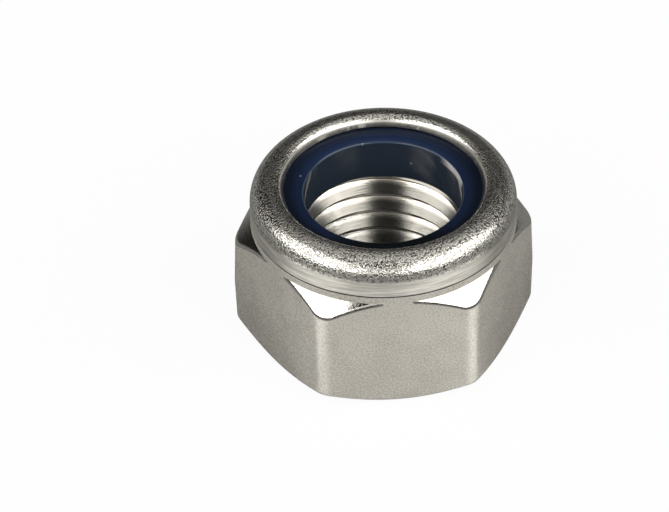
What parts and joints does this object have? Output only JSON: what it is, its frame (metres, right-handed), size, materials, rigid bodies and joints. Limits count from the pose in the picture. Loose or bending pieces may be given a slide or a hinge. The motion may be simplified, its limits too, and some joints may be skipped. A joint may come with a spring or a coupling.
{
  "type": "nylon insert lock nut",
  "caption": "Hexagon lock nut with a collar rolled over a nylon ring that grips the bolt's thread so that it can't shake loose.",
  "frame": {"origin": "centre of the bearing face, on the thread axis", "axes": "+Z along the thread axis from the bearing face to the collar; one flat of the hexagon square to -Y"},
  "size_m": [0.0276, 0.024, 0.016],
  "materials": {
    "steel": "satin stainless steel, tumbled grain on the rolled rim",
    "nylon": "glossy dark blue nylon"
  },
  "bodies": {
    "root": {"nut_body": "steel", "nylon_insert": "nylon"}
  },
  "joints": []
}
